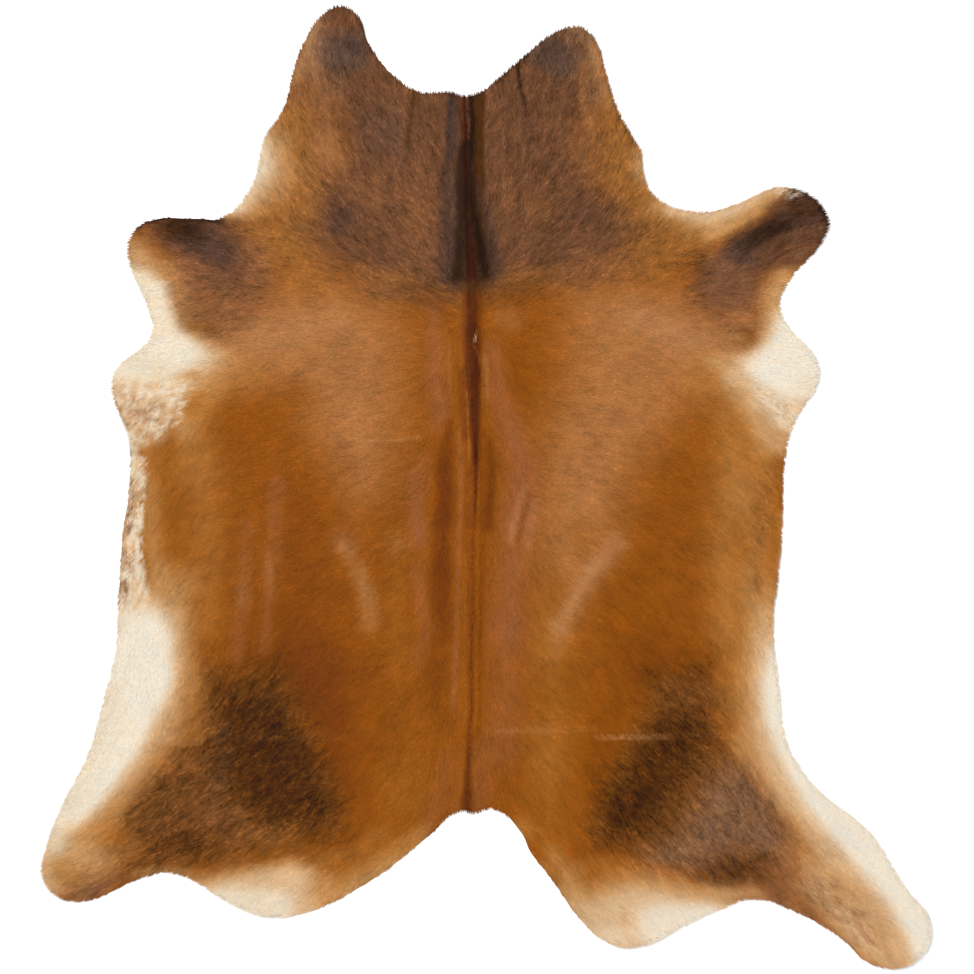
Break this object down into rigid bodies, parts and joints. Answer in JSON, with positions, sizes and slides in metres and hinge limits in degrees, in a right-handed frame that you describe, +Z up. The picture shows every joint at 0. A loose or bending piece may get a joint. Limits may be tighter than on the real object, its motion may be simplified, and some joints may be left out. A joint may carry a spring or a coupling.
{
  "type": "cowhide rug",
  "caption": "Whole hair-on cowhide laid flat as a floor rug, trimmed round its neck, legs, flanks and tail notch.",
  "frame": {"origin": "on the floor under the middle of the hide's box", "axes": "+Z up, hair side up; +Y towards the neck, which is the hide's long direction; +X to the right of the hide seen from above"},
  "size_m": [2.0318, 2.1984, 0.0141],
  "materials": {
    "coat": "short glossy hair on leather, red-brown with dark and cream markings"
  },
  "bodies": {
    "root": {"hide": "coat"}
  },
  "joints": []
}
